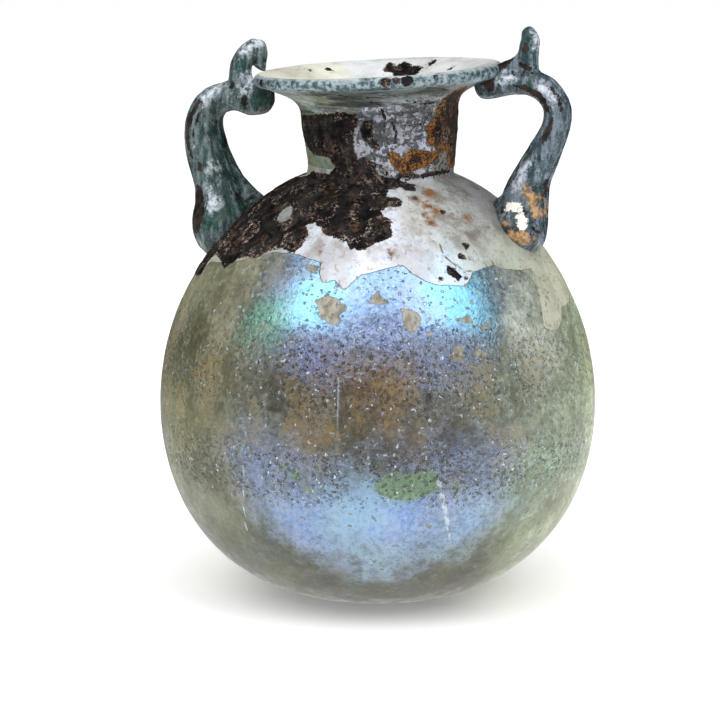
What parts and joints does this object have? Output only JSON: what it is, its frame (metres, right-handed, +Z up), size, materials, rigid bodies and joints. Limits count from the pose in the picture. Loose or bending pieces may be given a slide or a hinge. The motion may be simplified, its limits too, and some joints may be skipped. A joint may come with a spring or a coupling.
{
  "type": "glass aryballos",
  "caption": "Small globular blown-glass oil flask with a short neck, a funnel rim and two applied handles folded up into spurs.",
  "frame": {"origin": "centre of the base, on the surface that the flask stands on", "axes": "+Z up along the flask's axis, +X to the right as seen from the front, with the handles in a vertical plane turned 15 degrees so that the right one comes forward"},
  "size_m": [0.0546, 0.0546, 0.0711],
  "materials": {
    "flask": "weathered green glass under an iridescent film, with dark crust on the neck and shoulder",
    "left_handle": "blue-green glass with a whitish film and brown patches",
    "right_handle": "blue-green glass with a whitish film and brown patches"
  },
  "bodies": {
    "root": {"flask": "flask", "left_handle": "left_handle", "right_handle": "right_handle"}
  },
  "joints": []
}
